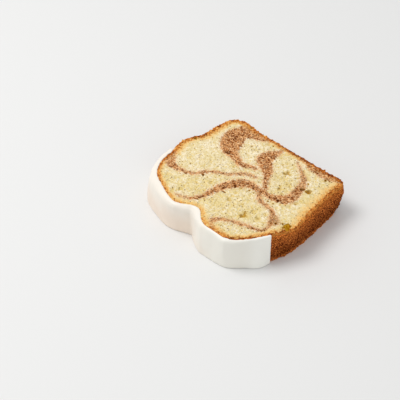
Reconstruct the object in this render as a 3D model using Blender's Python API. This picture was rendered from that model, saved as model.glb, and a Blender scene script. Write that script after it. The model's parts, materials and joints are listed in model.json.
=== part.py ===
"""A slice of iced cinnamon swirl loaf cake, lying on one cut face.

The loaf is baked in a tin, overhangs the tin's rim on both sides, splits along the middle of its dome and
is coated with poured white icing. One slice cut across it is two pieces: the cake with its browned crust, and
the band of icing round its dome. The cinnamon batter is marbled through the crumb, so it is no piece alone.

Frame: +Z up through the slice, +Y towards the loaf's base, -Y towards the iced dome, +X to the right of the
loaf with the base away from the viewer. The origin is the middle of the slice's box, on the face it lies on.
Outlines are in millimetres from the middle of the loaf's base, and place() turns them into the frame.
"""

import math

import bmesh
import bpy
from mathutils import Vector, noise

MM = 0.001

# Driving sizes, in millimetres
BASE_WIDTH = 84.0
DOME_HEIGHT = 83.9
SLICE_THICKNESS = 21.0
RIM_STEP = 2.6
OVERHANG = 7.0
SPLIT_DEPTH = 7.9
ICING_GAP = 0.3
ICING_LIP = 0.45
BOX_MIDDLE = Vector((-0.5, -42.3))

# Half widths of the loaf at its base, at the height of the tin's rim and across the overhang
BASE_HALF = BASE_WIDTH / 2
RIM_HALF = BASE_HALF + RIM_STEP
OVERHANG_HALF = BASE_HALF + OVERHANG

# The crust seen from above, counter-clockwise: base, left wall, left lobe, split, right lobe, right wall
CRUST_KNOTS = [
    Vector(point)
    for point in (
        (BASE_HALF - 1.0, 0.3),
        (BASE_HALF - 8.0, -0.1),
        (0.0, -0.2),
        (-BASE_HALF + 18.5, -0.3),
        (-BASE_HALF + 14.5, 0.8),
        (-BASE_HALF + 5.0, 0.6),
        (-BASE_HALF - 0.3, -4.0),
        (-RIM_HALF, -27.5),
        (-RIM_HALF - 2.4, -31.6),
        (-OVERHANG_HALF, -39.5),
        (-OVERHANG_HALF + 2.3, -49.5),
        (-OVERHANG_HALF + 4.1, -59.5),
        (-OVERHANG_HALF + 10.2, -70.8),
        (-26.0, -77.9),
        (-13.0, -DOME_HEIGHT + 2.0),
        (-0.4, -DOME_HEIGHT + SPLIT_DEPTH),
        (9.5, -DOME_HEIGHT + 0.8),
        (20.0, -DOME_HEIGHT),
        (29.2, -DOME_HEIGHT + 1.0),
        (37.0, -75.2),
        (OVERHANG_HALF - 5.5, -63.4),
        (OVERHANG_HALF - 2.7, -57.5),
        (OVERHANG_HALF + 0.2, -50.0),
        (OVERHANG_HALF - 2.1, -36.0),
        (BASE_HALF + 2.6, -12.0),
        (BASE_HALF + 2.2, -2.4),
    )
]

# The icing lies on the crust from one of those knots to another, and this is its thickness at each of them
FIRST_ICED = 10
ICING_THICKNESS = [3.9, 3.5, 3.3, 3.2, 2.3, 4.2, 2.0, 2.2, 2.4, 2.3, 1.3]
LAST_ICED = FIRST_ICED + len(ICING_THICKNESS) - 1

# How the wall leaves the upright below the top face: (place, lean at the underside, belly halfway, reach)
WALL_SHAPE = [
    (Vector((43.0, -1.0)), Vector((-2.0, -1.8)), Vector((1.4, 1.3)), 9.0),
    (Vector((48.0, -49.0)), Vector((-2.5, 0.3)), Vector((0.0, 0.0)), 9.0),
    (Vector((31.0, -82.0)), Vector((-0.9, 1.5)), Vector((0.0, 0.0)), 14.0),
    (Vector((2.0, -78.0)), Vector((-1.2, -0.4)), Vector((0.0, 0.0)), 6.0),
    (Vector((-9.0, -82.0)), Vector((0.2, 2.3)), Vector((0.0, 0.0)), 7.5),
    (Vector((-38.0, -75.0)), Vector((-1.9, -1.1)), Vector((-0.5, -0.4)), 11.0),
]

# Mesh density
CRUST_POINTS = 144
CRUST_ROWS = 8
ICING_STATIONS = 64
ICING_ROWS = 4

# Relief of the rough crust
CRAG_DEPTH = 0.45
CRAG_SIZE = 3.2

# Large pores in the upper cut face: (x, y, radius)
PORES = [
    (45.4, -52.4, 1.9),
    (21.4, -61.6, 2.1),
    (15.4, -17.6, 1.8),
    (34.3, -20.8, 1.6),
    (22.0, -25.2, 1.2),
    (21.0, -31.0, 1.2),
    (30.2, -21.8, 1.1),
    (23.4, -55.4, 1.2),
    (29.2, -58.4, 1.2),
    (7.0, -58.2, 1.1),
    (36.0, -34.0, 1.1),
    (-22.0, -28.2, 1.3),
    (-18.6, -71.4, 1.1),
    (-10.6, -54.4, 1.1),
]
PORE_LIFT = 0.1


def clear_scene():
    for item in list(bpy.data.objects):
        bpy.data.objects.remove(item)


def collection(name):
    made = bpy.data.collections.new(name)
    bpy.context.scene.collection.children.link(made)
    return made


def material(name, colour, roughness):
    made = bpy.data.materials.new(name)
    made.use_nodes = True
    shader = made.node_tree.nodes["Principled BSDF"]
    shader.inputs["Base Color"].default_value = (*colour, 1.0)
    shader.inputs["Roughness"].default_value = roughness
    shader.inputs["Metallic"].default_value = 0.0
    return made


def place(point, height):
    """An outline point and a height in millimetres, as a point of the frame in metres."""
    return Vector(((point.x - BOX_MIDDLE.x) * MM, (point.y - BOX_MIDDLE.y) * MM, height * MM))


def curve_between(before, start, end, after, share):
    """Centripetal Catmull-Rom curve from start to end, at share 0 to 1."""
    points = (before, start, end, after)
    knots = [0.0]
    for one, two in zip(points, points[1:]):
        knots.append(knots[-1] + math.sqrt((two - one).length))
    at = knots[1] + share * (knots[2] - knots[1])

    def blend(first, second, low, high):
        return first * ((high - at) / (high - low)) + second * ((at - low) / (high - low))

    level = [blend(points[i], points[i + 1], knots[i], knots[i + 1]) for i in range(3)]
    level = [blend(level[i], level[i + 1], knots[i], knots[i + 2]) for i in range(2)]
    return blend(level[0], level[1], knots[1], knots[2])


def crust_at(position):
    """The crust's outline at a position counted in knots, closed."""
    index = math.floor(position)
    around = [CRUST_KNOTS[(index + step) % len(CRUST_KNOTS)] for step in (-1, 0, 1, 2)]
    return curve_between(*around, position - index)


def outward(position):
    """The crust's outward normal at a position counted in knots."""
    along = (crust_at(position + 0.05) - crust_at(position - 0.05)).normalized()
    return Vector((along.y, -along.x))


def even_positions(count):
    """Positions round the crust, in knots, that lie an equal length of outline apart."""
    steps = 40 * len(CRUST_KNOTS)
    positions = [len(CRUST_KNOTS) * i / steps for i in range(steps + 1)]
    lengths = [0.0]
    for one, two in zip(positions, positions[1:]):
        lengths.append(lengths[-1] + (crust_at(two) - crust_at(one)).length)
    even = []
    index = 0
    for i in range(count):
        wanted = lengths[-1] * i / count
        while lengths[index + 1] < wanted:
            index += 1
        share = (wanted - lengths[index]) / (lengths[index + 1] - lengths[index])
        even.append(positions[index] + share * (positions[index + 1] - positions[index]))
    return even


def drift(point, height):
    """How far a point of the outline lies from its place in the top face, at a lower height."""
    depth = 1.0 - height / SLICE_THICKNESS
    moved = Vector((0.0, 0.0))
    for centre, lean, belly, reach in WALL_SHAPE:
        near = math.exp(-(((point - centre).length / reach) ** 2))
        moved += near * (depth * lean + math.sin(depth * math.pi) * belly)
    return moved


def crag(position, point, height):
    """The rough crust's relief, in millimetres outwards. Under the icing it only goes inwards."""
    rough = noise.fractal(Vector((*point, height)) / CRAG_SIZE, 0.9, 2.1, 3)
    if FIRST_ICED - 0.5 < position < LAST_ICED + 0.5:
        return -CRAG_DEPTH * abs(rough)
    return CRAG_DEPTH * rough


def wrap_onto_crust(shape, positions):
    """Moves the rings of a round drum onto the crust's outline, by their angle and height."""
    for vertex in shape.verts:
        turn = math.atan2(vertex.co.y, vertex.co.x) / math.tau
        position = positions[round(turn * CRUST_POINTS) % CRUST_POINTS]
        point = crust_at(position)
        height = vertex.co.z + SLICE_THICKNESS / 2
        out = drift(point, height) + outward(position) * crag(position, point, height)
        vertex.co = place(point + out, height)


def cake_drum(target):
    """The slice as a drum with flat ends and its wall in even rows."""
    shape = bmesh.new()
    bmesh.ops.create_cone(
        shape, segments=CRUST_POINTS, radius1=1.0, radius2=1.0, depth=SLICE_THICKNESS, cap_ends=True
    )
    upright = [edge for edge in shape.edges if edge.verts[0].co.z * edge.verts[1].co.z < 0]
    bmesh.ops.subdivide_edges(shape, edges=upright, cuts=CRUST_ROWS - 1)
    wrap_onto_crust(shape, even_positions(CRUST_POINTS))
    mesh = bpy.data.meshes.new("loaf_cake")
    shape.to_mesh(mesh)
    shape.free()
    cake = bpy.data.objects.new("loaf_cake", mesh)
    target.objects.link(cake)
    return cake


def add_pore_cutters(cutters):
    """A ball for each large pore, with its middle just above the top face."""
    for number, (x, y, radius) in enumerate(PORES):
        middle = place(Vector((x, y)), SLICE_THICKNESS + PORE_LIFT * radius)
        turn = (0.7 * number, 1.1 * number, 0.0)
        bpy.ops.mesh.primitive_ico_sphere_add(
            subdivisions=2, radius=radius * MM, location=middle, rotation=turn
        )
        ball = bpy.context.active_object
        ball.name = "pore_cutter"
        ball.hide_render = True
        ball.display_type = "WIRE"
        for owner in list(ball.users_collection):
            owner.objects.unlink(ball)
        cutters.objects.link(ball)


def make_cake(target, cutters):
    cake = cake_drum(target)
    add_pore_cutters(cutters)
    cake.modifiers.new("plane faces", "TRIANGULATE")
    cut = cake.modifiers.new("pores", "BOOLEAN")
    cut.operation = "DIFFERENCE"
    cut.operand_type = "COLLECTION"
    cut.collection = cutters
    cake.data.materials.append(material("baked crumb and crust", (0.80, 0.62, 0.33), 0.85))


def icing_thickness_at(share):
    """The icing's thickness at a share of its length, smoothly between the thicknesses at the knots."""
    along = share * (len(ICING_THICKNESS) - 1)
    index = min(math.floor(along), len(ICING_THICKNESS) - 2)
    step = along - index
    eased = step * step * (3.0 - 2.0 * step)
    return ICING_THICKNESS[index] * (1.0 - eased) + ICING_THICKNESS[index + 1] * eased


def icing_outline():
    """The icing seen from above: along the crust one way, and back along its outer face."""
    inner = []
    outer = []
    for station in range(ICING_STATIONS + 1):
        share = station / ICING_STATIONS
        position = FIRST_ICED + share * (LAST_ICED - FIRST_ICED)
        inner.append(crust_at(position) + outward(position) * ICING_GAP)
        outer.append(crust_at(position) + outward(position) * icing_thickness_at(share))
    return inner + outer[::-1]


def icing_slab(target):
    """The icing's outline as an upright slab with rounded rims, as a mesh."""
    outline = icing_outline()
    curve = bpy.data.curves.new("icing_outline", "CURVE")
    curve.dimensions = "2D"
    curve.fill_mode = "BOTH"
    curve.extrude = (SLICE_THICKNESS / 2 - ICING_LIP) * MM
    curve.bevel_depth = ICING_LIP * MM
    curve.bevel_resolution = 1
    curve.offset = -ICING_LIP * MM
    spline = curve.splines.new("POLY")
    spline.points.add(len(outline) - 1)
    spline.use_cyclic_u = True
    for control, point in zip(spline.points, outline):
        control.co = (*place(point, 0.0), 1.0)
    drawn = bpy.data.objects.new("icing_outline", curve)
    target.objects.link(drawn)
    bpy.context.view_layer.update()
    evaluated = drawn.evaluated_get(bpy.context.evaluated_depsgraph_get())
    mesh = bpy.data.meshes.new_from_object(evaluated)
    bpy.data.objects.remove(drawn)
    return mesh


def make_icing(target):
    """The icing on the crust, leaning with it from the top face down."""
    mesh = icing_slab(target)
    shape = bmesh.new()
    shape.from_mesh(mesh)
    bmesh.ops.remove_doubles(shape, verts=shape.verts, dist=0.01 * MM)
    upright = [edge for edge in shape.edges if edge.calc_length() > SLICE_THICKNESS / 2 * MM]
    bmesh.ops.subdivide_edges(shape, edges=upright, cuts=ICING_ROWS - 1)
    for vertex in shape.verts:
        height = vertex.co.z / MM + SLICE_THICKNESS / 2
        point = Vector((vertex.co.x, vertex.co.y)) / MM + BOX_MIDDLE
        vertex.co = place(point + drift(point, height), height)
    bmesh.ops.recalc_face_normals(shape, faces=shape.faces)
    shape.to_mesh(mesh)
    shape.free()
    icing = bpy.data.objects.new("icing", mesh)
    target.objects.link(icing)
    mesh.shade_smooth()
    mesh.set_sharp_from_angle(angle=math.radians(40))
    mesh.materials.clear()
    mesh.materials.append(material("poured white icing", (0.90, 0.88, 0.84), 0.35))


def main():
    clear_scene()
    slice_pieces = collection("Iced loaf slice")
    cutters = collection("Pore cutters")
    make_cake(slice_pieces, cutters)
    make_icing(slice_pieces)


main()
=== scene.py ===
import json
import math

import bpy
import numpy as np
from mathutils import Matrix, Vector, kdtree, noise

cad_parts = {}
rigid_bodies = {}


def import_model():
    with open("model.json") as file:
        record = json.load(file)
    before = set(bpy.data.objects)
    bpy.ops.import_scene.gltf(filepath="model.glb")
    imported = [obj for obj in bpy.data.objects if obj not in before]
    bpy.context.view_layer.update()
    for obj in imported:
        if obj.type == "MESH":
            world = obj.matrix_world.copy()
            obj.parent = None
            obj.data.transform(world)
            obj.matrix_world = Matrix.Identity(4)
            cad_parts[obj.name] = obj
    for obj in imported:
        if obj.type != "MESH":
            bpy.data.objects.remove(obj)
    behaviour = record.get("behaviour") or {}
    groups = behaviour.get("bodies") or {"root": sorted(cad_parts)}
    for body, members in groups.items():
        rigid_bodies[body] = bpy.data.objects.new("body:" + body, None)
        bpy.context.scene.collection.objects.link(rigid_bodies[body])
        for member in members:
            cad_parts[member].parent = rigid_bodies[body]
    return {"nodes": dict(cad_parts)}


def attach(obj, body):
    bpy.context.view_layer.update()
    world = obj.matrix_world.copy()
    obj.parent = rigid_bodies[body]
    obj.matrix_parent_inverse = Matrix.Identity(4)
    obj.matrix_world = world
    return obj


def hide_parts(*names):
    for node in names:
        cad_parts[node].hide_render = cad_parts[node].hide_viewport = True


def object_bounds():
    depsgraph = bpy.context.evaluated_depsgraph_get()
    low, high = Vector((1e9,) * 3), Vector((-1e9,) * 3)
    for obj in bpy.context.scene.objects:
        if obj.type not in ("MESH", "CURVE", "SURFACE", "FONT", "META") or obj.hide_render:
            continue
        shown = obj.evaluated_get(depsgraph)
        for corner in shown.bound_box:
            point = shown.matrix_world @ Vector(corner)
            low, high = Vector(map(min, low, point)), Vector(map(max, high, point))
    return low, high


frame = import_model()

cad_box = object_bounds()


# The slice of loaf cake: pale open crumb marbled with cinnamon sugar, inside a thin brown crust.
# The loaf was baked in a flat tin, rose over the rim and split along its top. It was cut across
# with a knife, and the slice lies on its cut face.
CRUMB_GRID = 0.48
BASE_MIDDLE = np.array((0.5, 42.3))
SLICE_THICKNESS = 21.0
JOIN_WITHIN = 0.00001
FACE_TILT = 0.6
WALL_REACH = 2.8
HOLE_DEPTH = 2.6
HOLE_ZONE = 3.0
HOLE_MARGIN = 1.06


def copy_of(node, name):
    """A free copy of a solid, with its loose triangles joined."""
    bpy.ops.object.select_all(action="DESELECT")
    frame["nodes"][node].select_set(True)
    bpy.context.view_layer.objects.active = frame["nodes"][node]
    bpy.ops.object.duplicate()
    piece = bpy.context.active_object
    bpy.ops.object.parent_clear(type="CLEAR_KEEP_TRANSFORM")
    for key in list(piece.keys()):
        del piece[key]
    piece.name = name
    piece.data.name = name
    piece.data.materials.clear()
    bpy.ops.object.mode_set(mode="EDIT")
    bpy.ops.mesh.select_all(action="SELECT")
    bpy.ops.mesh.remove_doubles(threshold=JOIN_WITHIN)
    bpy.ops.object.mode_set(mode="OBJECT")
    return piece


def finish_modifier(piece, modifier):
    """Applies one modifier of a piece."""
    bpy.context.view_layer.objects.active = piece
    bpy.ops.object.modifier_apply(modifier=modifier.name)


def points_of(piece):
    """The piece's points in millimetres, and their normals."""
    count = len(piece.data.vertices)
    points = np.zeros(count * 3)
    normals = np.zeros(count * 3)
    piece.data.vertices.foreach_get("co", points)
    piece.data.vertices.foreach_get("normal", normals)
    return points.reshape(-1, 3) * 1000, normals.reshape(-1, 3)


def move_points(piece, points):
    """Puts the piece's points at these places, in millimetres, kept inside the solids' box."""
    low = np.array(cad_box[0]) * 1000
    high = np.array(cad_box[1]) * 1000
    inside = np.clip(points, low, high)
    piece.data.vertices.foreach_set("co", (inside / 1000).ravel())
    piece.data.update()


def tree_of(points):
    """A search tree of points."""
    tree = kdtree.KDTree(len(points))
    for index, point in enumerate(points):
        tree.insert(point, index)
    tree.balance()
    return tree


def keep_on_points(piece, name, values):
    """Stores one number for every point of the piece."""
    layer = piece.data.attributes.new(name, "FLOAT", "POINT")
    layer.data.foreach_set("value", np.asarray(values, dtype=np.float32))


cake = copy_of("loaf_cake", "cut_cake")
grid = cake.modifiers.new("crumb grid", "REMESH")
grid.mode = "VOXEL"
grid.voxel_size = CRUMB_GRID / 1000
finish_modifier(cake, grid)
points, normals = points_of(cake)
depth = np.clip(1 - points[:, 2] / SLICE_THICKNESS, 0, 1)
upper = normals[:, 2] > FACE_TILT
lower = normals[:, 2] < -FACE_TILT
below_holes = np.abs(normals[:, 2]) < FACE_TILT
below_holes &= points[:, 2] < SLICE_THICKNESS - HOLE_DEPTH
side_tree = tree_of(points[below_holes])
from_side = np.array([side_tree.find(point)[2] for point in points])
wall = ~(upper | lower) & (from_side < WALL_REACH)

# A few bubbles in the batter left wide holes in the cut face: place, radius and how dark the painted shade
# in them is.
# Their walls are crumb, so they don't count as the crusted wall round the slice.
WIDE_HOLES = [(45.4, -52.4, 2.0, 1.35), (21.4, -61.6, 2.1, 1.05), (15.4, -17.6, 1.8, 0.95),
              (34.3, -20.8, 1.6, 1.15), (22, -25.2, 1.2, 0.7), (21, -31, 1.2, 0.85),
              (30.2, -21.8, 1.1, 1.0), (23.4, -55.4, 1.2, 0.75), (29.2, -58.4, 1.2, 0.85),
              (7, -58.2, 1.1, 0.75), (36, -34, 1.1, 0.9), (-22, -28.2, 1.3, 0.9),
              (-18.6, -71.4, 1.1, 0.75), (-10.6, -54.4, 1.1, 0.7)]
for x, y, radius, shade_tone in WIDE_HOLES:
    away = np.hypot(*(points[:, :2] - BASE_MIDDLE - (x, y)).T)
    wall &= (away > radius * HOLE_MARGIN) | (points[:, 2] < SLICE_THICKNESS - HOLE_ZONE)

# The cinnamon runs through the batter in ribbons. Each has a strength of colour and a line of
# points in millimetres from the middle of the base crust, with half the ribbon's width there.
# With depth they drift sideways in slow waves, so the lower face shows another run of them.
RIBBONS = [
    (1.0, [(-13, -3.5, 0.8), (-18, -5, 1.8), (-24, -6.5, 3.4), (-28.5, -9.8, 5.2), (-29.3, -13.8, 6.3),
           (-27.3, -18.7, 6.5), (-24.9, -22.9, 5.6), (-21.8, -26.0, 4.1), (-17, -28, 2.4),
           (-12.5, -29.8, 1.8), (-9.5, -30.6, 1.7), (-6, -29.6, 1.2), (-3, -28, 0.9), (0.5, -27.4, 0.5)]),
    (1.0, [(-0.5, -3.5, 0.4), (-0.6, -6, 0.9), (-1.5, -9, 2.3), (-2.4, -12.5, 3.5), (-2.5, -16.5, 4.2),
           (-1.2, -19, 4.3), (2, -21.3, 3.6), (5.5, -24, 2.7), (8.3, -27.2, 1.8), (10.2, -30.2, 1.3),
           (12.5, -33.5, 1.1), (15, -36.6, 1.0), (17.5, -39.3, 1.0)]),
    (0.7, [(13.3, -6, 0.3), (17.3, -8.7, 0.5), (21.5, -11.5, 0.9), (25.2, -14.8, 1.3), (27.5, -18, 1.6),
           (29, -22, 2.2)]),
    (1.0, [(29, -22, 2.2), (30, -26, 2.3), (30.7, -31, 2.8), (30.2, -35, 3.1), (27, -37.5, 2.8),
           (22, -39.8, 1.7), (17, -40.2, 1.5), (12, -40.3, 1.8), (6, -40.8, 2.6), (2.3, -43.3, 3.2),
           (-0.6, -47.3, 2.9), (-2.7, -52, 2.4), (-4.2, -57, 1.8), (-4.8, -62, 1.5), (-5.8, -67, 1.1),
           (-7.2, -70.5, 1.0), (-9.3, -73.3, 0.7)]),
    (0.6, [(-9.3, -73.3, 0.7), (-13, -75, 0.6), (-17, -76, 0.5)]),
    (1.0, [(-46.5, -50, 2.0), (-45.3, -53, 3.4), (-43.3, -55.8, 3.4), (-40.3, -58.2, 2.6),
           (-36, -59.6, 1.8), (-32, -59.3, 1.3)]),
    (0.8, [(-32, -59.3, 1.3), (-28, -58.8, 1.0), (-24.5, -57, 0.9), (-21.5, -54.5, 0.9),
           (-19.5, -51.5, 1.1), (-17.5, -48.5, 0.8), (-14, -46, 0.7), (-10.5, -44, 0.7)]),
    (0.65, [(-10.5, -44, 0.7), (-8, -42.5, 0.8), (-5.5, -39.5, 1.0), (-3, -37, 1.2), (-1, -35, 1.1),
            (2, -34, 0.8), (4.5, -33.3, 0.6)]),
    (0.75, [(15.3, -41, 0.9), (17.3, -44.4, 1.1), (20, -46.4, 1.2), (24.7, -47.2, 1.0), (28.7, -47.7, 0.9),
            (32, -49.3, 1.1), (34, -52, 1.4), (36, -55, 1.6), (37.4, -58, 1.1), (37.9, -61, 0.8),
            (37.3, -64, 0.7), (34.2, -65.8, 0.7), (29.3, -67, 0.7), (24.7, -68.7, 0.7), (20, -70.4, 0.8),
            (16, -73, 1.0), (13.3, -75, 1.3), (12.3, -77.6, 1.2), (13.8, -80, 1.0), (17.3, -82, 0.8)]),
    (0.5, [(35, -51, 1.4), (38.4, -54, 1.7)]),
    (0.95, [(13, -2.0, 0.6), (18, -2.6, 1.2), (24, -3.3, 2.2), (30, -3.6, 2.5), (36, -3.1, 2.1),
            (40, -2.5, 1.2)]),
    (1.0, [(-31.5, -5, 2.0), (-25, -3.8, 2.6), (-18, -3.0, 2.2), (-12, -2.2, 1.2)]),
]
RIBBON_STEP = 0.5
THINNEST_RIBBON = 0.2
SWIRL_DRIFT = 7.0
SWIRL_WAVE_X = 11.0
SWIRL_WAVE_Y = 13.0
PLACES_AT_ONCE = 4000


def ribbon_samples(strength, knots):
    """Close points along one ribbon: place, half width and strength."""
    knots = np.array(knots, dtype=float)
    found = []
    for before, start, end, after in zip(knots[[0, *range(len(knots) - 2)]], knots[:-1], knots[1:],
                                         knots[[*range(2, len(knots)), -1]]):
        steps = max(2, int(np.hypot(*(end - start)[:2]) / RIBBON_STEP))
        for t in np.arange(steps) / steps:
            place = 0.5 * (2 * start + (end - before) * t
                           + (2 * before - 5 * start + 4 * end - after) * t ** 2
                           + (3 * start - before - 3 * end + after) * t ** 3)
            found.append((place[0], place[1], max(place[2], THINNEST_RIBBON), strength))
    found.append((*knots[-1], strength))
    return found


def swirl_at(places, depths):
    """How far inside a ribbon each place is, in millimetres, and that ribbon's strength."""
    samples = np.array([sample for ribbon in RIBBONS for sample in ribbon_samples(*ribbon)])
    x, y = (places - BASE_MIDDLE).T
    drift = SWIRL_DRIFT * depths ** 1.3
    x = x + drift * np.sin(y / SWIRL_WAVE_Y + 0.8)
    y = y + drift * np.cos(x / SWIRL_WAVE_X - 0.5)
    inside = np.zeros(len(places))
    strength = np.zeros(len(places))
    for start in range(0, len(places), PLACES_AT_ONCE):
        part = slice(start, start + PLACES_AT_ONCE)
        away = np.hypot(x[part, None] - samples[:, 0], y[part, None] - samples[:, 1])
        reach = samples[:, 2] - away
        inside[part] = reach.max(1)
        strength[part] = samples[reach.argmax(1), 3]
    return inside, strength


swirl, swirl_strength = swirl_at(points[:, :2], depth)

# The crust differs round the slice: a place, how dark it is baked there, how thick the crust is,
# and how wide the golden crumb behind it is, in millimetres. Places between take a blend.
BAKED = np.array([
    (40, 0, 0.82, 2.6, 2.0), (30, 0, 0.82, 3.2, 1.3), (20, 0, 0.8, 3.0, 1.2), (10, 0, 0.78, 2.7, 1.2),
    (0, 0, 0.76, 2.5, 1.2), (-10, 0, 0.74, 2.6, 1.2), (-18, 0, 0.72, 2.8, 1.2), (-25, 0, 0.6, 2.8, 1.4),
    (-31, 1, 0.5, 3.3, 1.6), (-38, 0, 0.48, 3.2, 1.8), (-42, -4, 0.5, 3.2, 2.0),
    (-43, -12, 0.6, 3.2, 2.6), (-44, -20, 0.62, 3.2, 2.8), (-44.6, -27, 0.7, 3.2, 2.8),
    (-46.5, -31.5, 0.85, 2.6, 2.6), (-49, -39, 0.5, 3.3, 2.9), (-47.5, -48, 0.52, 3.5, 2.8),
    (-46, -55, 0.75, 2.8, 2.1), (-43, -62, 0.6, 2.0, 1.8), (-38, -69, 0.5, 2.2, 1.6),
    (-32, -75, 0.5, 2.2, 1.6), (-24, -78, 0.45, 2.0, 1.6), (-16, -80.5, 0.35, 2.0, 2.0),
    (-11, -81, 0.3, 2.2, 2.2), (-5, -78, 0.08, 1.4, 2.5), (0, -76, 0.0, 1.2, 2.5),
    (5, -79, 0.06, 1.4, 2.5), (10, -82, 0.35, 2.4, 2.8), (16, -84, 0.38, 2.8, 2.8),
    (22, -84, 0.42, 2.8, 2.4), (27, -83, 0.62, 3.0, 2.0), (31, -80, 0.94, 3.2, 1.6),
    (36, -75, 0.84, 2.8, 1.8), (41, -68, 0.54, 2.6, 2.2), (44, -62, 0.56, 2.6, 2.4),
    (46.5, -57, 0.97, 2.4, 1.8), (49, -52, 0.64, 1.6, 3.0), (49, -46, 0.56, 1.6, 4.2),
    (47, -36, 0.54, 1.8, 4.6), (46, -25, 0.56, 2.0, 4.4), (45, -15, 0.6, 2.4, 4.2),
    (44, -6, 0.72, 2.6, 3.6)])
BAKED_REACH = 1.6
apart = np.hypot(points[:, None, 0] - BASE_MIDDLE[0] - BAKED[:, 0],
                 points[:, None, 1] - BASE_MIDDLE[1] - BAKED[:, 1])
weight = np.exp(-(apart - apart.min(1)[:, None]) / BAKED_REACH)
weight /= weight.sum(1)[:, None]
bake, crust_width, golden_width = (weight @ BAKED[:, 2:]).T
wall_tree = tree_of(points[wall])
wall_out = normals[wall] * (1, 1, 0)
wall_out /= np.linalg.norm(wall_out, axis=1)[:, None] + 1e-9
rind = np.array([wall_tree.find(point)[2] for point in points])
rind[wall] = 0

# The knife cut through thousands of cells in the crumb, which is coarser in some places than in
# others: middle and reach of each, and elsewhere on the lower face. Sizes and tones are a least
# value and what chance adds to it. A tone is painted shade in a cell: up to 1 it is ochre, 1.5 is
# brown and above 2 nearly black.
COARSE_PLACES = [(-30, -67, 12), (20, -55, 14), (21, -27, 9), (36, -30, 10), (-14, -60, 12), (8, -66, 10)]
FINE_PLACES = [(-32, -42, 14), (-36, -25, 8), (-12, -18, 8)]
PLAIN_OPENNESS = 0.55
OPENNESS_CHANGE = 0.4
LOWER_FACE_SHIFT = 3
SMALL_CELLS = {"count": 5200, "crowding": 1, "radius": (0.42, 0.36), "length": (1, 0.6),
               "depth": (0.5, 0.8), "shade_tone": (0.35, 0.4)}
WIDE_CELLS = {"count": 260, "crowding": 2, "radius": (0.65, 0.45), "length": (1, 0.8),
              "depth": (0.8, 0.5), "shade_tone": (0.6, 0.35)}
CELL_SHIFT = 0.3
CELL_TILT = 0.4
BOWL_SHAPE = 0.6
RIND_UNBROKEN = 1.0

# Slits where the crumb tore: middle, half length, half width and turn. Slits and pits get dark
# painted shade, and pits are round.
SLITS = [(0.4, -55.5, 1.6, 0.6, 0.1), (34.8, -6.6, 1.3, 0.7, -0.8),
         (37, -5.6, 0.8, 0.55, -0.6), (30.4, -22.2, 1.3, 0.9, 0.4), (-7.3, -4.5, 0.9, 0.5, 0.2),
         (27, -39.2, 1.0, 0.8, 0), (-4.9, -31, 0.8, 0.5, 0.3), (-18.3, -53.2, 0.8, 0.9, 1.4),
         (9.8, -44.2, 0.6, 0.5, 0.2), (13, -44, 0.6, 0.5, 0.2), (23.3, -43.6, 0.8, 0.6, 0),
         (26.9, -43.3, 0.5, 0.7, 0), (1.2, -47, 0.7, 0.9, 0.4), (-2.2, -52.3, 0.8, 0.6, 0.8),
         (-3.7, -63.8, 0.7, 0.6, 0), (-3.2, -68, 0.6, 0.6, 0), (41.6, -51.9, 1.0, 0.6, -0.8),
         (38.6, -54.5, 0.7, 1.0, 0), (36, -51.8, 0.7, 0.6, 0), (30.3, -68, 0.5, 0.5, 0),
         (22.8, -76, 0.5, 0.8, 0), (-44.8, -32.3, 1.4, 0.8, 0.3), (47.4, -58.2, 1.2, 0.7, -0.3),
         (-28, -0.8, 1.4, 0.7, 0.1), (-3.6, -17.3, 0.8, 0.7, 0)]
SLIT_DEPTH = 1.1
SLIT_SHADE_TONE = 2.4
PITS = [(35.2, -8.1), (-23.3, -28.7), (-21.5, -28.0), (10.1, -41.1), (-40.7, -30.4), (-3.7, -61.3),
        (-25.4, -13.5), (5.3, -46.0), (2.7, -44.9), (5.4, -41.0), (27.3, -4.8), (-13.9, -28.6),
        (35.0, -22.0), (9.1, -29.7), (27.7, -40.4), (21.7, -40.4), (32.3, -32.0), (33.5, -2.3),
        (35.9, -34.5), (2.3, -47.8), (-22.6, -14.7), (15.6, -40.5), (19.7, -40.0), (37.2, -64.6),
        (28.6, -26.0), (-26.4, -59.4), (-5.7, -70.7), (-15.1, -4.3), (-5.5, -66.8), (-20.5, -18.0),
        (-2.8, -38.0), (32.5, -39.1), (-6.7, -30.4), (36.4, -56.3), (37.9, -62.8), (19.9, -3.2),
        (-28.2, -24.5), (-1.1, -12.9), (29.9, -16.0), (-16.0, -47.6), (-38.9, -17.5), (12.1, -55.0),
        (-24.1, -2.4), (25.9, -4.9), (-26.8, -9.3), (-22.7, -9.3), (29.2, -32.8), (-0.9, -46.1),
        (32.2, -66.3), (1.3, -13.0), (30.2, -39.0)]
PIT_LENGTH = (0.6, 0.25)
PIT_WIDTH = 0.55
PIT_DEPTH = 0.8
PIT_SHADE_TONE = (1.4, 0.9)
rng = np.random.default_rng(11)
point_tree = tree_of(points)
hollow = np.zeros(len(points))
push = np.zeros(len(points))


def chance(least, spread):
    """A random number from least to least plus spread."""
    return least + spread * rng.random()


def on_face(x, y, face):
    """A place on the upper face, or for face -1 its mirror image on the lower face."""
    return BASE_MIDDLE[0] + x * face, BASE_MIDDLE[1] + y, SLICE_THICKNESS if face > 0 else 0


def sink(centre, half_length, half_width, turn, deep, shade_tone, face):
    """Sinks one open cell into a cut face, and paints shade into it by its tone."""
    along = np.array((math.cos(turn), math.sin(turn)))
    across = np.array((-along[1], along[0]))
    for place, index, distance in point_tree.find_range(centre, max(half_length, half_width)):
        if normals[index, 2] * face < CELL_TILT:
            continue
        offset = points[index, :2] - centre[:2]
        share = (offset @ along / half_length) ** 2 + (offset @ across / half_width) ** 2
        if share < 1:
            bowl = (1 - share) ** BOWL_SHAPE
            push[index] = max(push[index], deep * bowl)
            hollow[index] = max(hollow[index], shade_tone * bowl)


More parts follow.
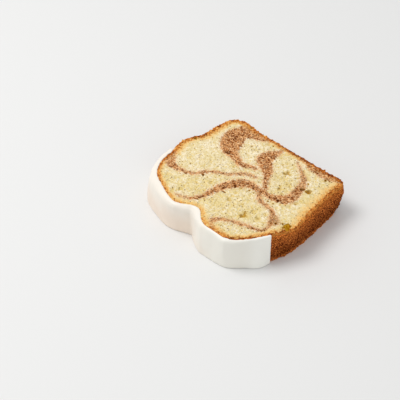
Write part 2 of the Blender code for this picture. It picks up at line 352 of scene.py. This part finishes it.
def openness(places):
    """How coarse the crumb is at each place, from 0 to 1."""
    found = np.full(len(places), PLAIN_OPENNESS)
    for change, zones in ((OPENNESS_CHANGE, COARSE_PLACES), (-OPENNESS_CHANGE, FINE_PLACES)):
        for x, y, reach in zones:
            away = np.hypot(*(places - BASE_MIDDLE - (x, y)).T) / reach
            found += change * np.exp(-away ** 2)
    return np.clip(found, 0.1, 1)


for face in (1, -1):
    rows = np.flatnonzero((upper if face > 0 else lower) & (rind > RIND_UNBROKEN))
    coarse = openness(points[rows, :2] * (1, face) + (0, 0 if face > 0 else LOWER_FACE_SHIFT))
    for kind in (SMALL_CELLS, WIDE_CELLS):
        crowd = coarse ** kind["crowding"]
        least, spread = kind["radius"]
        for row in rng.choice(rows, kind["count"], p=crowd / crowd.sum()):
            radius = least + spread * rng.random() ** 2
            centre = points[row] + (*rng.normal(0, CELL_SHIFT, 2), 0)
            sink(centre, radius * chance(*kind["length"]), radius, rng.random() * math.pi,
                 radius * chance(*kind["depth"]), chance(*kind["shade_tone"]), face)
for x, y, long, wide, turn in SLITS:
    for face in (1, -1):
        sink(on_face(x, y, face), long, wide, turn, SLIT_DEPTH, SLIT_SHADE_TONE, face)
for x, y in PITS:
    for face in (1, -1):
        sink(on_face(x, y, face), chance(*PIT_LENGTH), PIT_WIDTH, rng.random() * math.pi,
             PIT_DEPTH, chance(*PIT_SHADE_TONE), face)

# The wide holes are not round: their rims wander in and out, the painted shade in them follows
# the ragged rim, and small cells open beside them.
RIM_WANDER = 0.75
RIM_MIDDLE = 0.9
RIM_SWELL = 0.45
RIM_END = 1.15
CELLS_BESIDE = 4
hole_shift = np.zeros_like(points)
for x, y, radius, shade_tone in WIDE_HOLES:
    offset = points[:, :2] - BASE_MIDDLE - (x, y)
    away = np.hypot(*offset.T)
    beside_hole = (away < radius * 2) & (points[:, 2] > SLICE_THICKNESS - HOLE_ZONE) & ~wall
    for index in np.flatnonzero(beside_hole):
        outward = offset[index] / (away[index] + 1e-6)
        wobble = noise.noise(Vector((outward[0] * 1.3, outward[1] * 1.3, x))) + 0.1
        swell = math.exp(-((away[index] / radius - RIM_MIDDLE) / RIM_SWELL) ** 2)
        hole_shift[index, :2] += outward * wobble * radius * RIM_WANDER * swell
        crumbs = 0.4 * noise.noise(Vector(points[index] / 0.9))
        ragged = away[index] / radius - wobble * RIM_WANDER + crumbs
        if ragged < RIM_END:
            hollow[index] = max(hollow[index], shade_tone * (1.0 - 0.5 * max(ragged, 0) ** 2))
    for turn in rng.random(CELLS_BESIDE) * 2 * math.pi:
        beside = (x + radius * RIM_END * math.cos(turn), y + radius * RIM_END * math.sin(turn))
        centre = (*(BASE_MIDDLE + beside), SLICE_THICKNESS)
        sink(centre, radius * 0.6, radius * 0.4, turn + 1, radius * 0.5, 0.75, 1)

# The knife leaves the crumb a little uneven, and the crust is grainy, lumpy, cracked and pitted,
# with a ragged edge where it was cut. The glaze fills the crust's grain, so there it is flatter,
# and the crumb next to the glaze lies a little deeper.
CRUST_GRAIN = 1.2
WIDE_LUMPS = 4.5
SMALL_LUMPS = 2.2
CRACKS_APART = 2.6
CRUST_DEPTH = 0.8
CRUST_LIFT = 0.6
TORN_GRAIN = 1.5
TORN_REACH = 1.5
TORN_ABOVE = 1.1
TORN_BELOW = 0.6
RIM_REACH = 2.5
KNIFE_WAVES = 2.0
GLAZE_NEAR = 6
DOME_FROM = 42
GLAZED_SHARE = 0.3
BESIDE_GLAZE = 1.4
BESIDE_GLAZE_DEPTH = 0.16
icing_tree = tree_of([vertex.co * 1000 for vertex in frame["nodes"]["icing"].data.vertices])
for index, point in enumerate(map(Vector, points)):
    on_dome = point.y < BASE_MIDDLE[1] - DOME_FROM
    if wall[index]:
        grain = noise.fractal(point / CRUST_GRAIN, 1.0, 2.0, 3)
        lumps = noise.noise(point / WIDE_LUMPS) * 0.3
        lumps += noise.noise(point / SMALL_LUMPS + Vector((5, 1, 8))) * 0.28
        cracks = 1 - abs(noise.noise(point / CRACKS_APART + Vector((7, 3, 1)))) * 6
        inward = -0.14 + 0.36 * grain + lumps + 0.25 * max(cracks, 0)
        edge = min(point.z, SLICE_THICKNESS - point.z)
        torn = noise.fractal(point / TORN_GRAIN + Vector((2, 9, 4)), 1.0, 2.0, 2) + 0.08
        torn *= TORN_ABOVE if point.z > SLICE_THICKNESS / 2 else TORN_BELOW
        inward += torn * max(0.0, 1 - edge / TORN_REACH)
        covered = icing_tree.find(point)[2] < GLAZE_NEAR and on_dome
        push[index] = min(max(inward, -CRUST_LIFT), CRUST_DEPTH) * (GLAZED_SHARE if covered else 1)
    else:
        wave = noise.fractal(point / KNIFE_WAVES, 1.0, 2.0, 3)
        push[index] += max(0.0, 0.1 + 0.2 * wave) * min(1.0, rind[index] / 0.8)
        if rind[index] < BESIDE_GLAZE and on_dome and normals[index, 2] > 0:
            push[index] += BESIDE_GLAZE_DEPTH
moved = points - normals * push[:, None] + hole_shift
wall_push = push[wall]
for index in np.flatnonzero((upper | lower) & ~wall & (rind < RIM_REACH)):
    row = wall_tree.find(points[index])[1]
    moved[index] -= wall_out[row] * wall_push[row] * (1 - rind[index] / RIM_REACH) ** 2
move_points(cake, moved)
keep_on_points(cake, "swirl", swirl)
keep_on_points(cake, "swirl_strength", swirl_strength)
keep_on_points(cake, "in_crust", rind / crust_width)
keep_on_points(cake, "in_gold", (rind - crust_width) / golden_width)
keep_on_points(cake, "bake", bake)
# The painted shade of the open cells, holes, pits and slits is kept on the points.
keep_on_points(cake, "hollow", hollow)


class Wire:
    """One output of a material, for sums written as plain expressions."""

    def __init__(self, finish, socket):
        self.finish = finish
        self.socket = socket

    def __add__(self, other):
        return self.finish.sum("ADD", self, other)

    def __sub__(self, other):
        return self.finish.sum("SUBTRACT", self, other)

    def __rsub__(self, other):
        return self.finish.sum("SUBTRACT", other, self)

    def __mul__(self, other):
        return self.finish.sum("MULTIPLY", self, other)


class Finish:
    """The material of one piece, built node by node."""

    def __init__(self, name):
        self.material = bpy.data.materials.new(name)
        self.material.use_nodes = True
        self.tree = self.material.node_tree
        self.tree.nodes.clear()

    def node(self, kind, settings=None, sockets=None, out=0):
        """Adds one node, and gives the wire of one of its outputs."""
        item = self.tree.nodes.new(kind)
        for name, value in (settings or {}).items():
            if name == "stops":
                for stop in value[2:]:
                    item.color_ramp.elements.new(stop[0])
                for element, (level, colour) in zip(item.color_ramp.elements, value):
                    element.position = level
                    element.color = colour
            else:
                setattr(item, name, value)
        for name, value in (sockets or {}).items():
            if isinstance(value, Wire):
                self.tree.links.new(value.socket, item.inputs[name])
            else:
                item.inputs[name].default_value = value
        return Wire(self, item.outputs[out]) if item.outputs else None

    def sum(self, operation, first, second):
        """One step of arithmetic."""
        return self.node("ShaderNodeMath", {"operation": operation}, {0: first, 1: second})

    def place(self, size=1.0):
        """Where the surface point is, in steps of size millimetres."""
        here = self.node("ShaderNodeTexCoord", out="Object")
        scale = {0: here, "Scale": 1000 / size}
        return self.node("ShaderNodeVectorMath", {"operation": "SCALE"}, scale)

    def along(self, axis):
        """How far along one axis the surface point is, in millimetres."""
        return self.node("ShaderNodeSeparateXYZ", {}, {0: self.place()}, axis)

    def cloud(self, size, detail=2.0, roughness=0.5):
        """Soft noise from 0 to 1, with lumps of about size millimetres."""
        sockets = {"Vector": self.place(size), "Scale": 1.0, "Detail": detail, "Roughness": roughness}
        return self.node("ShaderNodeTexNoise", {}, sockets, "Fac")

    def cells(self, size, out):
        """Cells of about size millimetres: their Color, or the Distance to their middle."""
        sockets = {"Vector": self.place(size), "Scale": 1.0}
        return self.node("ShaderNodeTexVoronoi", {"feature": "F1"}, sockets, out)

    def random_cells(self, size):
        """One random number from 0 to 1 for each cell of about size millimetres."""
        return self.node("ShaderNodeSeparateColor", {}, {"Color": self.cells(size, "Color")}, 0)

    def ramp(self, value, colours):
        """A colour for each level of the value, blended between them."""
        stops = list(colours.items())
        return self.node("ShaderNodeValToRGB", {"stops": stops}, {"Fac": value})

    def stored(self, name):
        """A number kept on the points."""
        return self.node("ShaderNodeAttribute", {"attribute_name": name}, {}, "Fac")

    def rise(self, value, low, high):
        """0 below low, 1 above high, smooth between."""
        sockets = {"Value": value, "From Min": low, "From Max": high, "To Min": 0.0, "To Max": 1.0}
        return self.node("ShaderNodeMapRange", {"interpolation_type": "SMOOTHSTEP"}, sockets)

    def mix(self, share, first, second):
        """Goes from the first colour to the second."""
        sockets = {0: share, 6: first, 7: second}
        return self.node("ShaderNodeMix", {"data_type": "RGBA"}, sockets, 2)

    def surface(self, piece, bump=None, bump_height=0.0, **sockets):
        """The finished shader, put on the piece. The bump's height is in millimetres."""
        named = {name.replace("_", " "): value for name, value in sockets.items()}
        if bump is not None:
            relief = {"Height": bump, "Distance": bump_height / 1000, "Strength": 1.0}
            named["Normal"] = self.node("ShaderNodeBump", {}, relief)
        shader = self.node("ShaderNodeBsdfPrincipled", {}, named)
        self.node("ShaderNodeOutputMaterial", {}, {"Surface": shader})
        piece.data.materials.clear()
        piece.data.materials.append(self.material)


def paint(red, green, blue):
    """A colour as a screen shows it, 0 to 255, as the shader's own linear colour."""
    line = []
    for value in (red, green, blue):
        share = value / 255
        line.append(share / 12.92 if share <= 0.04045 else ((share + 0.055) / 1.055) ** 2.4)
    return (*line, 1.0)


# The crumb's colours, then those of the cinnamon, the rim round the cut face and the crust. Some
# stand for painted shade in cells, holes, pits and slits, and for painted light and shade on the wall.
CRUMB_PALE = paint(252, 239, 208)
CRUMB_YELLOW = paint(241, 223, 174)
CRUMB_CREAM = paint(248, 226, 192)
CRUMB_DARK_GRAIN = paint(226, 198, 123)
CRUMB_LIGHT_GRAIN = paint(255, 244, 214)
CRUMB_CELL_SHADE = paint(236, 211, 134)
CRUMB_SPECK = paint(188, 140, 42)
CRUMB_STAINED = paint(228, 182, 136)
CINNAMON_GRAINS = {0.2: paint(108, 46, 10), 0.37: paint(188, 120, 64), 0.57: paint(230, 168, 110),
                   0.85: paint(250, 208, 158)}
CINNAMON_CLOT = paint(126, 64, 26)
CINNAMON_SPECK = paint(64, 24, 4)
CINNAMON_CELL_SHADE = paint(104, 52, 18)
TOASTED = {0.0: paint(243, 208, 132), 0.3: paint(235, 165, 84), 0.55: paint(207, 122, 48),
           0.8: paint(160, 82, 32), 1.0: paint(112, 52, 18)}
GOLD_OUTSIDE = paint(241, 186, 106)
GOLD_INSIDE = paint(247, 216, 152)
RIM_SPECK = paint(112, 56, 10)
HOLE_SHADE_OCHRE = paint(204, 156, 44)
HOLE_SHADE_OLIVE = paint(156, 98, 2)
HOLE_SHADE_IN_CINNAMON = paint(104, 50, 14)
PIT_SHADE_BROWN = paint(136, 88, 14)
PIT_SHADE_IN_CINNAMON = paint(88, 40, 6)
SLIT_SHADE_DARK = paint(66, 30, 2)
CRUST_TOP_PAINTED_LIGHT = paint(214, 120, 52)
CRUST_MIDDLE = paint(154, 74, 36)
CRUST_BLOTCH = paint(116, 46, 16)
CRUST_LOW_PAINTED_SHADE = paint(104, 40, 12)
CRUST_DARK_GRAIN = paint(46, 11, 0)
CRUST_LIGHT_GRAIN_AND_GLINT = paint(250, 150, 72)
CRUST_CUT_EDGE_PAINTED_LIGHT = paint(240, 168, 82)

baked = Finish("baked_cake")
soft_blotch = baked.cloud(7.0)
blotch = baked.cloud(3.0)
lump = baked.cloud(1.5, 3.0, 0.6)
grain = baked.cloud(0.55, 2.0, 0.6)
crystal = baked.random_cells(0.54) * 0.7 + grain * 0.3
fine = baked.random_cells(0.4) * 0.75 + grain * 0.25
pore_size = baked.random_cells(1.3)
from_pore = baked.cells(1.3, "Distance") - pore_size * 0.1 + (grain - 0.5) * 0.3
speck = (1 - baked.rise(from_pore, 0.06, 0.3)) * baked.rise(pore_size, 0.42, 1.0)
swirl_wire = baked.stored("swirl") + 0.45 + (lump - 0.5) * 2.6 + (crystal - 0.5) * 2.2
cavity_shade_wire = baked.stored("hollow")

# Crumb: pale, with darker and lighter grains, open cells darkened with painted shade, specks, and a stain
# beside the cinnamon.
crumb = baked.mix(baked.rise(soft_blotch, 0.38, 0.62), CRUMB_PALE, CRUMB_YELLOW)
crumb = baked.mix(baked.rise(baked.cloud(2.2, 3.0), 0.5, 0.7) * 0.3, crumb, CRUMB_CREAM)
crumb = baked.mix(baked.rise(crystal, 0.5, 0.82) * 0.8, crumb, CRUMB_DARK_GRAIN)
crumb = baked.mix(baked.rise(1 - crystal, 0.55, 0.85) * 0.75, crumb, CRUMB_LIGHT_GRAIN)
# Painted shade in the open cells of the crumb.
crumb = baked.mix(baked.rise(cavity_shade_wire, 0.0, 0.9) * 0.85, crumb, CRUMB_CELL_SHADE)
speck_share = baked.rise(soft_blotch, 0.4, 0.62) * 0.5 + 0.5
crumb = baked.mix(speck * speck_share, crumb, CRUMB_SPECK)
crumb = baked.mix(baked.rise(swirl_wire, -2.6, 0.4) * 0.3, crumb, CRUMB_STAINED)

# Cinnamon: grains of sugar and spice, with darker clots and specks, and painted shade in its open cells.
spice = baked.ramp(crystal, CINNAMON_GRAINS)
spice = baked.mix(baked.rise(baked.random_cells(1.5), 0.72, 0.9) * 0.35, spice, CINNAMON_CLOT)
spice = baked.mix(speck * 0.85, spice, CINNAMON_SPECK)
# Painted shade in the open cells of the cinnamon.
spice = baked.mix(baked.rise(cavity_shade_wire, 0.2, 1.0) * 0.5, spice, CINNAMON_CELL_SHADE)
ribbon = baked.rise(swirl_wire, -0.5, 0.5) * baked.stored("swirl_strength")
inside = baked.mix(ribbon, crumb, spice)

# Rim: from the outside in, toasted crust, golden crumb and plain crumb. Holes, pits and slits show in all
# three, coloured with painted shade.
crust_wire = (baked.stored("in_crust") + (lump - 0.5) * 1.5 + (blotch - 0.5) * 0.9
              + (crystal - 0.5) * 0.6)
gold_wire = baked.stored("in_gold") + (lump - 0.5) * 1.8 + (crystal - 0.5) * 0.7
bake_wire = (baked.stored("bake") + (blotch - 0.5) * 1.2 + (lump - 0.5) * 1.1
             + (0.5 - crystal) * 0.7)
toast = baked.ramp(bake_wire, TOASTED)
golden = baked.mix(baked.rise(gold_wire, -0.1, 0.7), GOLD_OUTSIDE, GOLD_INSIDE)
golden = baked.mix(baked.rise(gold_wire, 0.5, 1.3), golden, inside)
golden = baked.mix(ribbon * 0.85, golden, spice)
rim = baked.mix(baked.rise(crust_wire, 0.55, 1.15), toast, golden)
rim = baked.mix(speck * 0.75, rim, RIM_SPECK)
# Painted shade in the wide holes, the pits and the slits, darker as they get deeper.
hole_shade = baked.mix(baked.rise(lump, 0.35, 0.65), HOLE_SHADE_OCHRE, HOLE_SHADE_OLIVE)
hole_shade = baked.mix(ribbon, hole_shade, HOLE_SHADE_IN_CINNAMON)
rim = baked.mix(baked.rise(cavity_shade_wire, 0.65, 1.15), rim, hole_shade)
pit_shade = baked.mix(ribbon, PIT_SHADE_BROWN, PIT_SHADE_IN_CINNAMON)
rim = baked.mix(baked.rise(cavity_shade_wire, 1.35, 1.75), rim, pit_shade)
rim = baked.mix(baked.rise(cavity_shade_wire, 1.8, 2.2), rim, SLIT_SHADE_DARK)

# The wall is painted lighter and golder near the upper cut edge, as light shining through the thin
# crust there, and darker towards the table, as painted shade. Below, the painted light is a thin line.
above_table = baked.along("Z")
from_cut = baked.sum("MINIMUM", above_table * 5, SLICE_THICKNESS - above_table)
baked_share = baked.stored("bake") * 0.5 + 0.48
down = from_cut * baked_share + (blotch - 0.5) * 4.0 + (crystal - 0.5) * 1.5
# The top and cut edge colours are painted light; the low colour is painted shade.
crust = baked.mix(baked.rise(down, 0.0, 2.0), toast, CRUST_TOP_PAINTED_LIGHT)
crust = baked.mix(baked.rise(down, 1.6, 7.5), crust, CRUST_MIDDLE)
crust = baked.mix(baked.rise(blotch, 0.5, 0.68) * 0.55, crust, CRUST_BLOTCH)
crust = baked.mix(baked.rise(down, 5.5, 15.5), crust, CRUST_LOW_PAINTED_SHADE)
# Fewer dark grains near the cut and more low down: a part of the painted light and shade.
dark_grain_shade_share = baked.rise(down, -1.0, 5.0) * 0.5 + 0.35
crust = baked.mix(baked.rise(fine, 0.44, 0.74) * dark_grain_shade_share, crust, CRUST_DARK_GRAIN)
# The light grains are partly the crust's own grain and partly painted glints; there are more of them near
# the cut, as painted light.
light_grain_glint_share = 0.85 - baked.rise(down, 4.0, 14.0) * 0.4
crust = baked.mix(baked.rise(1 - fine, 0.5, 0.8) * light_grain_glint_share, crust, CRUST_LIGHT_GRAIN_AND_GLINT)
crust = baked.mix((1 - baked.rise(from_cut, 0.2, 2.4)) * 0.5, crust, CRUST_CUT_EDGE_PAINTED_LIGHT)
on_wall = 1 - baked.rise(baked.stored("in_crust"), 0.0, 0.2)
skin = baked.mix(on_wall, rim, crust)
relief = lump * 0.4 + crystal * 0.6 - speck * 0.2
baked.surface(cake, relief, 0.4, Base_Color=skin, Roughness=0.9, Specular_IOR_Level=0.0)
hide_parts("loaf_cake")
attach(cake, "root")


# The icing: sugar glaze poured over the dome, set to a firm satin coat that follows the split.
# It clings to the crust, its outer edge is softly rounded, and the knife cut it flush with the crumb.
ICING_GRID = 0.4
NEAREST_CRUST = 12
NEAREST_OUTER = 16
OUTER_TILT = 0.6
CLINGS_BELOW = 0.85
CLINGS_DEEP = 0.25
TOP_EDGE = 1.5
TOP_EDGE_OVERLAP = 0.7
FLUSH_WITHIN = 0.7
ROUNDED_SHARE = 0.9
ROUNDED_DEEP = 1.5
LEAN = 0.45
LEAN_TO = 14


def smooth_rise(value, low, high):
    """0 below low, 1 above high, and a smooth slope between them."""
    share = np.clip((value - low) / (high - low), 0, 1)
    return share * share * (3 - 2 * share)


icing = copy_of("icing", "poured_icing")
coat = icing.modifiers.new("coat grid", "REMESH")
coat.mode = "VOXEL"
coat.voxel_size = ICING_GRID / 1000
finish_modifier(icing, coat)
points, normals = points_of(icing)
near = [wall_tree.find_n(point, NEAREST_CRUST) for point in points]
crust_place = np.array([np.mean([place for place, row, distance in found], axis=0) for found in near])
crust_out = np.array([wall_out[[row for place, row, distance in found]].mean(0) for found in near])
crust_out /= np.linalg.norm(crust_out, axis=1)[:, None]
stand = ((points - crust_place) * crust_out).sum(1)
outer = (normals * crust_out).sum(1) > OUTER_TILT
outer_tree = tree_of(points[outer] * (1, 1, 0))
outer_stand = stand[outer]
beside = [outer_tree.find_n(point, NEAREST_OUTER) for point in points * (1, 1, 0)]
thickness = np.array([outer_stand[[row for place, row, distance in found]].mean() for found in beside])

# Stand is how far a point is from the crust, and target is where it goes: the inner side sinks
# into the crust's grain, the outer edge is rounded, and on the right lobe the coat thins upwards.
inner = (stand < CLINGS_BELOW) & ~outer
overlap = np.array([max(0.0, noise.noise(Vector(point) / 2.4)) for point in points])
at_top = points[:, 2] > SLICE_THICKNESS - TOP_EDGE
target = np.where(inner, -CLINGS_DEEP - TOP_EDGE_OVERLAP * overlap * at_top, stand)
height = points[:, 2].copy()
height[inner & (height > SLICE_THICKNESS - FLUSH_WITHIN)] = SLICE_THICKNESS
height[inner & (height < FLUSH_WITHIN)] = 0
radius = thickness * ROUNDED_SHARE
across = (stand - thickness + radius) / radius
rise = (height - SLICE_THICKNESS) / (radius * ROUNDED_DEEP) + 1
rounded = ~inner & (across > 0) & (rise > 0)
reach = np.hypot(across, rise)
target = np.where(rounded, thickness - radius + radius * across / reach, target)
height = np.where(rounded, SLICE_THICKNESS + radius * ROUNDED_DEEP * (rise / reach - 1), height)
lean = smooth_rise(points[:, 0], 0, LEAN_TO) * LEAN * np.clip(height / SLICE_THICKNESS, 0, 1)
target = np.where(inner, target, target * (1 - lean))
share_out = smooth_rise(target, 0.3, 1.2)

# Where the coat swells or draws in: place, how much, and how far that reaches. The one that reaches
# furthest is a belly, fullest at half height. At the right end the glaze set in a wider foot.
CREASES = [(28.0, -85.3, 0.6, 3.0), (10.5, -85.3, 0.45, 3.0), (-3.0, -79.0, -0.4, 2.5),
           (-48, -62, 0.5, 7.0), (-48.5, -31.5, 1.7, 2.6), (-2.6, -79.6, -0.8, 1.5)]
BELLY_FROM = 5
FOOT_PLACE = (42.0, -69.5)
FOOT_SIZE = 1.6
FOOT_REACH = 5.0
for x, y, lift, spread in CREASES:
    away = np.hypot(*(points[:, :2] - BASE_MIDDLE - (x, y)).T)
    belly = np.sin(np.clip(points[:, 2] / SLICE_THICKNESS, 0, 1) * math.pi)
    target += lift * np.exp(-away / spread) * (belly if spread > BELLY_FROM else 1) * share_out
away = np.hypot(*(points[:, :2] - BASE_MIDDLE - FOOT_PLACE).T)
low_down = (1 - height / SLICE_THICKNESS) ** 1.5
target += FOOT_SIZE * np.exp(-(away / FOOT_REACH) ** 2) * low_down * share_out
for index in np.flatnonzero(share_out > 0):
    x, y, z = points[index]
    pour_wave = noise.noise(Vector((x / 6, y / 6, z / 14))) * 0.3
    pour_wave += noise.noise(Vector((x / 3, y / 3, z / 5))) * 0.1
    target[index] += (pour_wave - 0.1) * share_out[index]
points += crust_out * (target - stand)[:, None]
points[:, 2] = height
move_points(icing, points)
ease = icing.modifiers.new("set glaze", "SMOOTH")
ease.factor = 0.5
ease.iterations = 6
finish_modifier(icing, ease)

# The glaze is painted warmer low down on the left, as warm light thrown back from the crust, and painted
# lighter at the right end.
GLAZE_LOW_WARM_BOUNCE = paint(243, 227, 210)
GLAZE_HIGH = paint(245, 237, 225)
GLAZE_RIGHT = paint(243, 240, 230)
GLAZE_END_PAINTED_LIGHT = paint(252, 251, 243)
glaze = Finish("sugar_glaze")
pour = glaze.cloud(12.0)
dusting = glaze.cloud(0.9)
sideways = glaze.along("X")
upward = glaze.along("Z")
warm_bounce_glaze = glaze.mix(glaze.rise(upward + (pour - 0.5) * 12, 5.0, 18.0), GLAZE_LOW_WARM_BOUNCE, GLAZE_HIGH)
white = glaze.mix(glaze.rise(sideways + (pour - 0.5) * 20, -8.0, 24.0), warm_bounce_glaze, GLAZE_RIGHT)
white = glaze.mix(glaze.rise(sideways, 36.0, 43.0), white, GLAZE_END_PAINTED_LIGHT)
relief = pour * 0.7 + dusting * 0.05
glaze.surface(icing, relief, 0.4, Base_Color=white, Roughness=0.38, Specular_IOR_Level=0.4)
bpy.ops.object.select_all(action="DESELECT")
for piece in (cake, icing):
    piece.select_set(True)
bpy.ops.object.shade_smooth()
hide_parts("icing")
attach(icing, "root")


# The table: a plain pale surface that the slice lies on.
# It is a wide flat disc, set a hair below the slice's lower face.
TABLE_RADIUS = 3.0
TABLE_HEIGHT = -0.00005
TABLE_PALE = paint(232, 232, 231)
bpy.ops.object.select_all(action="DESELECT")
bpy.ops.mesh.primitive_circle_add(vertices=96, radius=TABLE_RADIUS, fill_type="NGON",
                                  location=(0, 0, TABLE_HEIGHT))
table = bpy.context.active_object
table.name = "pale_table"
tabletop = Finish("pale_tabletop")
tabletop.surface(table, Base_Color=TABLE_PALE, Roughness=0.6, Specular_IOR_Level=0.3)


# The light: a bright even room, and one large soft lamp at the left that models the icing.
# The lamp stands high, so the crust's shadow on the table is short and soft.
ROOM_STRENGTH = 0.68
KEY_SIDE = Vector((-0.8, -0.6, 0))
KEY_HEIGHT = math.radians(61)
KEY_DISTANCE = 1.2
KEY_SIZE = 0.6
KEY_POWER = 6.4
world = bpy.data.worlds.new("bright_room")
bpy.context.scene.world = world
world.use_nodes = True
world.node_tree.nodes["Background"].inputs["Color"].default_value = (1.0, 1.0, 1.0, 1)
world.node_tree.nodes["Background"].inputs["Strength"].default_value = ROOM_STRENGTH
bpy.ops.object.light_add(type="AREA")
lamp = bpy.context.active_object
lamp.name = "soft_key"
lamp.data.shape = "DISK"
lamp.data.size = KEY_SIZE
lamp.data.energy = KEY_POWER
toward_lamp = KEY_SIDE.normalized() * math.cos(KEY_HEIGHT) + Vector((0, 0, math.sin(KEY_HEIGHT)))
lamp.location = toward_lamp * KEY_DISTANCE
lamp.rotation_mode = "QUATERNION"
lamp.rotation_quaternion = toward_lamp.to_track_quat("Z", "Y")
bpy.context.scene.view_settings.view_transform = "Standard"


# The camera stands where the photo was taken from, above the iced side and to its right.
# Its place is in millimetres, and its directions are those of the picture's sides.
CAMERA_PLACE = Vector((322.55, -376.01, 444.39)) / 1000
CAMERA_RIGHT = Vector((0.7173, 0.69648, 0.01998))
CAMERA_DOWN = Vector((0.47348, -0.46619, -0.74732))
CAMERA_AHEAD = Vector((-0.51118, 0.5455, -0.66417))
CAMERA_SENSOR = 36.0
CAMERA_LENS = 102.08
CAMERA_SEES_FROM = 0.01
CAMERA_SEES_TO = 50.0
bpy.ops.object.camera_add()
camera = bpy.context.active_object
camera.data.sensor_width = CAMERA_SENSOR
camera.data.lens = CAMERA_LENS
camera.data.clip_start = CAMERA_SEES_FROM
camera.data.clip_end = CAMERA_SEES_TO
camera_turn = Matrix((CAMERA_RIGHT, -CAMERA_DOWN, -CAMERA_AHEAD)).transposed().to_4x4()
camera.matrix_world = Matrix.Translation(CAMERA_PLACE) @ camera_turn
bpy.context.scene.camera = camera
